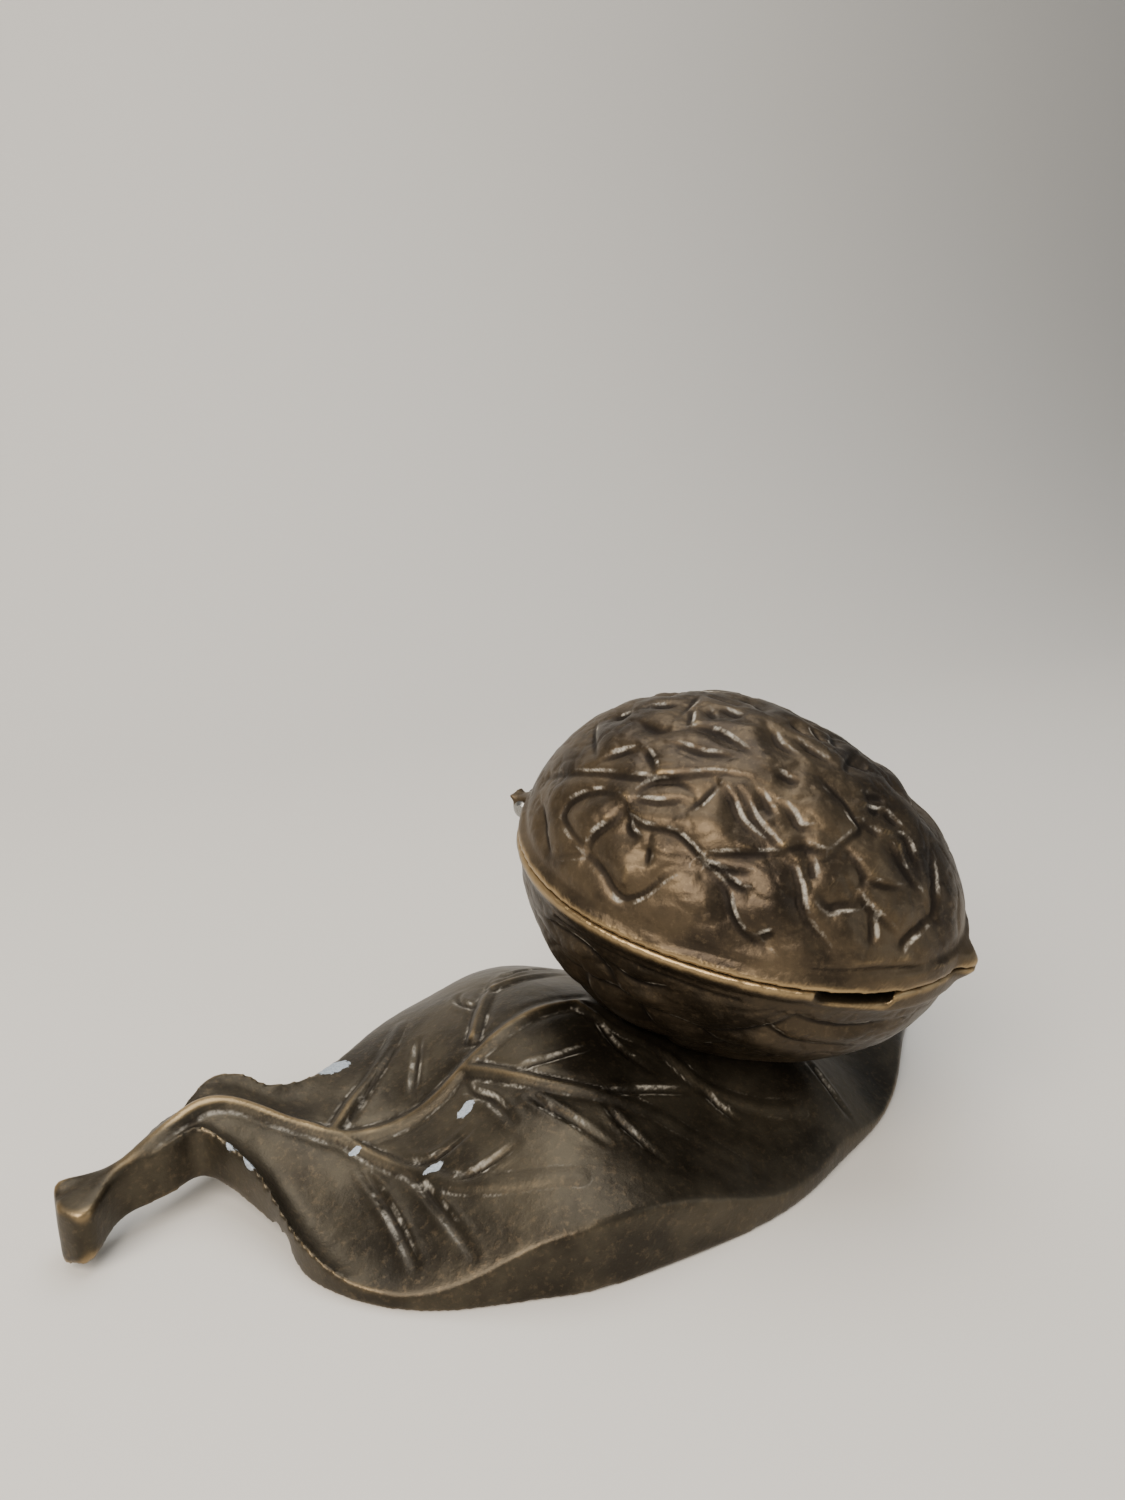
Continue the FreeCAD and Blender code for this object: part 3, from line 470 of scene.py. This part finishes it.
def wrinkle(piece, furrows, flow_lines, up, rise, lip_blend):
    """Presses the furrows into a shell's outside and swells the lobes between them.

    up is 1 for the lid and -1 for the cup, rise moves the whole relief in or out in mm, and
    lip_blend is how far off the seam, in mm, the lip's overhang has melted into the shell.
    """
    places, normals = points_of(piece.data)
    local = in_nut(places)
    height = up * local[:, 2]
    radial = np.hypot(local[:, 1], local[:, 2] + NUT_DROP)
    outside = radial > nut_reach(local[:, 0]) - SKIN_DEPTH
    outside &= local[:, 0] > HINGE_END
    show = outside * smoothstep(height, FLANGE_TOP, FULL_RELIEF)
    outward = np.stack([np.zeros(len(local)), local[:, 1], local[:, 2] + NUT_DROP], axis=1)
    outward /= np.maximum(np.linalg.norm(outward, axis=1), 1)[:, None]
    wander = grain_noise(local, 13, 4)
    lobes = np.zeros(len(places))
    swell = np.ones(len(places))
    # The furrow mark darkens the furrows: partly stain settled in them, partly painted shade.
    creases = np.zeros(len(places))
    residue = np.zeros(len(places))
    for line in furrows:
        gap, along, side = distance_along(local, furrow_line(line, up), outward)
        gap = gap * (1 + 0.25 * wander)
        fade = np.sin(math.pi * np.clip(0.16 + 0.72 * along, 0, 1))
        swell *= 1 - 0.8 * fade * hill(gap, 4.2)
        lobes += fade * (side * FURROW_STEP * np.tanh(gap / 1.2) * hill(gap, 4.6)
                         - FURROW_DEPTH * hill(gap, 1.15))
        creases = np.maximum(creases, fade * hill(gap - 0.2, 1.05))
        residue = np.maximum(residue, fade * (side > 0) * hill(gap - 1.3, 0.65))
    lobes = np.clip(lobes, -1.3, 1.0) + LOBE_HEIGHT * swell + rise
    stretched = local * np.array([0.5, 1.0, 1.0])
    small = grain_noise(stretched, 4.2, 5)
    lobes += 0.16 * small + 0.30 * wander - 0.22 * hill(small, 0.09)
    creases = np.maximum(creases, 0.40 * hill(small, 0.05))
    band = outside * smoothstep(height, 1.2, 2.4) * (1 - smoothstep(height, 7.0, 11.0))
    flow = np.zeros(len(places))
    for line in flow_lines:
        gap, along, side = distance_along(local, furrow_line(line, up), outward)
        flow += side * 0.25 * np.tanh(gap) * hill(gap, 2.4) - 0.35 * hill(gap, 0.7)
        creases = np.maximum(creases, 0.8 * hill(gap, 0.75) * (band > 0))
    over = np.clip(radial - nut_reach(local[:, 0]), 0, 2) * outside
    over *= smoothstep(height, 1.0, lip_blend) * (1 - smoothstep(local[:, 0], 36, 60))
    over *= smoothstep(local[:, 0], -59, -50)
    turned_out = outward @ NUT_TURN.T
    places = places + normals * (lobes * show + flow * band)[:, None] - turned_out * over[:, None]
    set_points(piece.data, places)
    edge = crests(piece.data, 3)
    # The crease mark also takes the concave hollows from the curvature, darkened as painted shade.
    keep_marks(piece.data,
               crease=creases * outside * smoothstep(height, 1.6, 3.2)
               + 0.5 * smoothstep(-edge, 0.06, 0.25) * outside,
               residue=residue * outside * smoothstep(height, 3.0, 6.0),
               rubbed=(0.75 * smoothstep(edge, 0.04, 0.20)
                       + 0.35 * smoothstep(lobes, 0.4, 1.4)) * outside)


cup = fine_copy("lower_shell", "walnut_cup", CUP_GRAIN)
LOWER_FLOW = [
    [(-48, 1), (-30, 1.5), (-10, 1.5), (10, 2), (33, 2)],
    [(-30, 6), (-14, 4.5), (4, 5), (22, 6)],
]
wrinkle(cup, LOWER_FURROWS + other_side(LOWER_FURROWS, -4),
        LOWER_FLOW + other_side(LOWER_FLOW, 0), -1, -1.9, 6.0)
cup.data.materials.append(stained_metal("bronze_stained_walnut_cup", "#2C251C", "#4A3F30",
                                        0.65, 0.9))
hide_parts("lower_shell")
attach(cup, "base")


# ------------------------------------------------------------------------ walnut, upper shell
# The upper half is the lid: the same kind of casting with deeper wrinkles, which end in a
# smooth flange along the seam. Its pointed tip is the lip that the hand lifts and presses.

LID_GRAIN = 0.76           # mm between neighbouring points of the relief

UPPER_FURROWS = [
    [(-19.5, 38), (-13, 35.5), (-5, 37), (0, 35.5), (4, 33), (4, 31)],
    [(6, 35), (13, 39), (21, 44)],
    [(4, 32), (10, 32.5), (17, 35)],
    [(1, 30), (-3, 24), (-6, 18), (-10.5, 14), (-14.5, 15), (-18, 18), (-22.5, 20), (-27, 20),
     (-35, 14)],
    [(-25.5, 22), (-31.5, 25), (-37, 29), (-36, 35), (-30, 40.5), (-24, 41.5), (-20.5, 40)],
    [(-25.5, 22), (-25, 27), (-21, 34), (-20.5, 39)],
    [(-9, 31), (-7.7, 25)],
    [(-17.5, 36), (-16, 33), (-12, 31.5)],
    [(-0.5, 56), (-1.6, 50), (-4, 44)],
    [(-18, 42), (-11, 44), (-5, 48)],
    [(-18, 44), (-15.5, 49.5), (-9.5, 52), (-4, 51)],
    [(-33, 52), (-29, 56), (-24.5, 59)],
    [(-22.5, 59), (-19, 56), (-16.5, 52.5)],
    [(-50, 43), (-32, 47), (-20, 49), (-12, 52), (-2, 59), (7.5, 62)],
    [(-15.5, 64), (-7.5, 64), (0, 67)],
    [(-17, 71), (-10, 74), (-4, 73), (4, 69.5)],
    [(-15.5, 85), (-10.5, 79)],
    [(-12, 87), (-5, 85.5)],
    [(-19, 82), (-17, 77), (-15.5, 72)],
    [(-30, 82), (-24, 86)],
    [(-40, 76.5), (-34, 77)],
    [(-29.5, 71), (-23, 68.5), (-19, 70.5)],
    [(-45, 75), (-42, 66), (-39, 59.5), (-35, 53)],
    [(-47, 29), (-44, 24), (-40.5, 18), (-36, 13)],
    [(1, 56), (5, 52.5), (9, 48), (17, 44.5)],
    [(6, 57), (12, 50), (17, 47), (21, 45)],
    [(10, 59), (13, 56), (15.5, 54)],
    [(15.5, 59), (19, 57), (22, 54.5), (25.5, 57)],
    [(21, 44.5), (24, 49), (27, 50), (31, 52)],
    [(31, 52), (33, 61.5), (34, 67.5), (31, 70), (27, 73), (22, 75), (19, 77)],
    [(33, 70.5), (36, 71), (39, 70.5)],
    [(33, 57), (37.5, 53), (39.5, 50), (39.5, 45)],
    [(39.5, 50), (42, 51), (45, 53.5), (48, 58)],
    [(39.5, 44), (42, 41.5), (45.5, 39), (50, 36)],
    [(43.5, 40), (45.5, 32), (45.5, 26)],
    [(41, 41), (37, 37), (35, 34.5), (31.5, 37)],
    [(21, 44), (24, 42), (27, 37), (29, 31.5), (32, 26.5), (36, 22.5), (40, 17)],
    [(5, 31), (10.5, 28.5), (13, 25.5), (15.5, 21), (19, 17), (22, 15.5), (28.5, 11)],
    [(23, 17), (26, 20)],
    [(10.5, 31), (14, 29.5), (18, 29.5)],
    [(40, 72), (45, 67), (48, 65), (52.5, 62)],
    [(41, 76), (43, 80), (46, 76), (50, 70)],
    [(49, 88), (52.5, 77), (54.5, 69), (55.5, 60.5), (57, 55)],
    [(55.5, 60), (53.5, 45), (52, 34), (51.5, 28)],
    [(36, 83), (41, 82)],
    [(30.5, 82), (34.5, 88)],
    [(33, 77), (36, 82)],
    [(9, 86.5), (15, 85.5), (20.5, 85)],
    [(3.5, 85), (7, 80.5), (13, 79)],
    [(24, 86), (23, 91), (22, 104)],
    [(11, 68), (14, 68.5), (17, 69)],
    [(27, 47), (29, 42.5), (29.5, 41)],
]
UPPER_FLOW = [
    [(-24, 6), (-16, 8), (-11, 8), (0, 6), (7, 8), (16.5, 9), (23.5, 8.5), (30, 7), (37, 5.5)],
    [(-36, 6), (-19, 6), (-6, 6), (0, 5.5)],
    [(36, 12), (42, 14), (50, 19), (58, 24)],
    [(8, 5.5), (20, 6.5), (36, 8), (50, 10)],
]
lid = fine_copy("upper_shell", "walnut_lid", LID_GRAIN)
wrinkle(lid, UPPER_FURROWS + other_side(UPPER_FURROWS, 0),
        UPPER_FLOW + other_side(UPPER_FLOW, 0), 1, -1.25, 4.5)
lid.data.materials.append(stained_metal("bronze_stained_walnut_lid", "#312920", "#584B39",
                                        0.70, 1.0))
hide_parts("upper_shell")
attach(lid, "lid")


# ------------------------------------------------------------------------------------- jaws
# Two toothed plates crack the nut. They are cast in the same aluminium and left unstained, so
# they show the pale grey of the metal as it came from the mould.

def plain_metal(name, colour, metallic, roughness, grit_size, grit_depth):
    """Bare metal with its making marks as a light grain."""
    material = bpy.data.materials.new(name)
    material.use_nodes = True
    tree = material.node_tree
    tree.nodes.clear()
    place = add(tree, "ShaderNodeTexCoord").outputs["Object"]
    grit = add(tree, "ShaderNodeTexNoise", [("Vector", place), ("Scale", per_metre(grit_size)),
                                           ("Detail", 4.0)])
    tone = add(tree, "ShaderNodeMix", [
        (0, grit.outputs["Fac"]), (6, linear(colour)),
        (7, [0.72 * c for c in linear(colour)[:3]] + [1.0])], data_type="RGBA").outputs[2]
    rough = add(tree, "ShaderNodeMapRange", [
        ("Value", grit.outputs["Fac"]), ("To Min", roughness - 0.08),
        ("To Max", roughness + 0.12)]).outputs["Result"]
    bump = add(tree, "ShaderNodeBump", [("Height", grit.outputs["Fac"]), ("Strength", 0.25),
                                       ("Distance", grit_depth * MM)])
    shader = add(tree, "ShaderNodeBsdfPrincipled", [
        ("Base Color", tone), ("Metallic", metallic), ("Roughness", rough),
        ("Normal", bump.outputs[0])])
    add(tree, "ShaderNodeOutputMaterial", [("Surface", shader.outputs[0])])
    return material


def finish_nodes(names, material):
    """Gives a better material to CAD pieces whose shape is right as it is."""
    for name in names:
        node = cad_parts[name]
        node.data.materials.clear()
        node.data.materials.append(material)


finish_nodes(["lower_jaw", "upper_jaw"],
             plain_metal("bare_cast_jaw_metal", "#A9A59C", 1.0, 0.42, 1.2, 0.15))


# ------------------------------------------------------------------------------ small fixings
# Zinc plated steel screws, bolts and washers, a bright drawn pin with its clip, and a turned
# brass bush in the middle knuckle.

finish_nodes(["lower_jaw_screw_left", "lower_jaw_screw_right", "upper_jaw_screw_left",
              "upper_jaw_screw_right", "shell_bolt_front", "shell_bolt_rear",
              "shell_washer_front", "shell_washer_rear", "spring_washer_front",
              "spring_washer_rear", "hinge_washer_left", "hinge_washer_right"],
             plain_metal("zinc_plated_steel", "#B4B3AE", 1.0, 0.34, 0.8, 0.05))
finish_nodes(["hinge_pin", "pin_retaining_clip"],
             plain_metal("drawn_steel", "#9B9A97", 1.0, 0.26, 0.7, 0.04))
finish_nodes(["hinge_bush"], plain_metal("turned_brass", "#C29A4C", 1.0, 0.3, 0.7, 0.04))


# ---------------------------------------------------------------------------- floor and light
# A plain pale table top that turns up into a wall behind, one large soft window light from the
# left front, a low fill and a soft light from above.

sweep = bmesh.new()
profile = [sweep.verts.new((-2.5, -2.5, 0)), sweep.verts.new((2.5, -2.5, 0))]
sweep.edges.new(profile)
edges = list(sweep.edges)
grown = bmesh.ops.extrude_edge_only(sweep, edges=edges)
moved = [v for v in grown["geom"] if isinstance(v, bmesh.types.BMVert)]
bmesh.ops.translate(sweep, verts=moved, vec=(0, 3.5, 0))
edges = [e for e in grown["geom"] if isinstance(e, bmesh.types.BMEdge)
         and all(v in moved for v in e.verts)]
grown = bmesh.ops.extrude_edge_only(sweep, edges=edges)
moved = [v for v in grown["geom"] if isinstance(v, bmesh.types.BMVert)]
bmesh.ops.translate(sweep, verts=moved, vec=(0, 0, 2.5))
bend = [e for e in sweep.edges if all(abs(v.co.y - 1) + abs(v.co.z) < 1e-6 for v in e.verts)]
bmesh.ops.bevel(sweep, geom=bend, offset=0.6, segments=16, profile=0.5, affect="EDGES",
                material=-1)
floor_mesh = bpy.data.meshes.new("pale_floor")
sweep.to_mesh(floor_mesh)
sweep.free()
floor_mesh.shade_smooth()
floor = bpy.data.objects.new("pale_floor", floor_mesh)
bpy.context.scene.collection.objects.link(floor)
paper = bpy.data.materials.new("pale_backdrop_paper")
paper.use_nodes = True
paper.node_tree.nodes["Principled BSDF"].inputs["Base Color"].default_value = linear("#CFCCC6")
paper.node_tree.nodes["Principled BSDF"].inputs["Roughness"].default_value = 0.85
floor_mesh.materials.append(paper)

LIGHTS = [
    ("window_light", (-0.75, -0.55, 0.85), 0.9, 26.0, "#FFF4E6"),
    ("room_light", (0.1, 0.2, 1.3), 1.0, 12.0, "#FFFFFF"),
    ("low_fill", (0.9, -1.1, 0.5), 0.9, 3.0, "#E4ECF5"),
]
for name, place, size, power, tint in LIGHTS:
    lamp = bpy.data.lights.new(name, "AREA")
    lamp.energy = power
    lamp.size = size
    lamp.color = linear(tint)[:3]
    light = bpy.data.objects.new(name, lamp)
    light.location = place
    aim = Vector((0.02, 0.0, 0.05)) - Vector(place)
    light.rotation_euler = aim.to_track_quat("-Z", "Y").to_euler()
    bpy.context.scene.collection.objects.link(light)

world = bpy.data.worlds.new("soft_room")
world.use_nodes = True
world.node_tree.nodes["Background"].inputs["Color"].default_value = linear("#D5DADF")
world.node_tree.nodes["Background"].inputs["Strength"].default_value = 0.35
bpy.context.scene.world = world

lens = bpy.data.cameras.new("table_view")
lens.sensor_fit = "VERTICAL"
lens.sensor_height = 36.0
lens.lens = 27.05
camera = bpy.data.objects.new("table_view", lens)
camera.location = (-0.1341, -0.2426, 0.190)
camera.rotation_euler = (math.radians(74), 0, math.radians(-28))
bpy.context.scene.collection.objects.link(camera)
bpy.context.scene.camera = camera
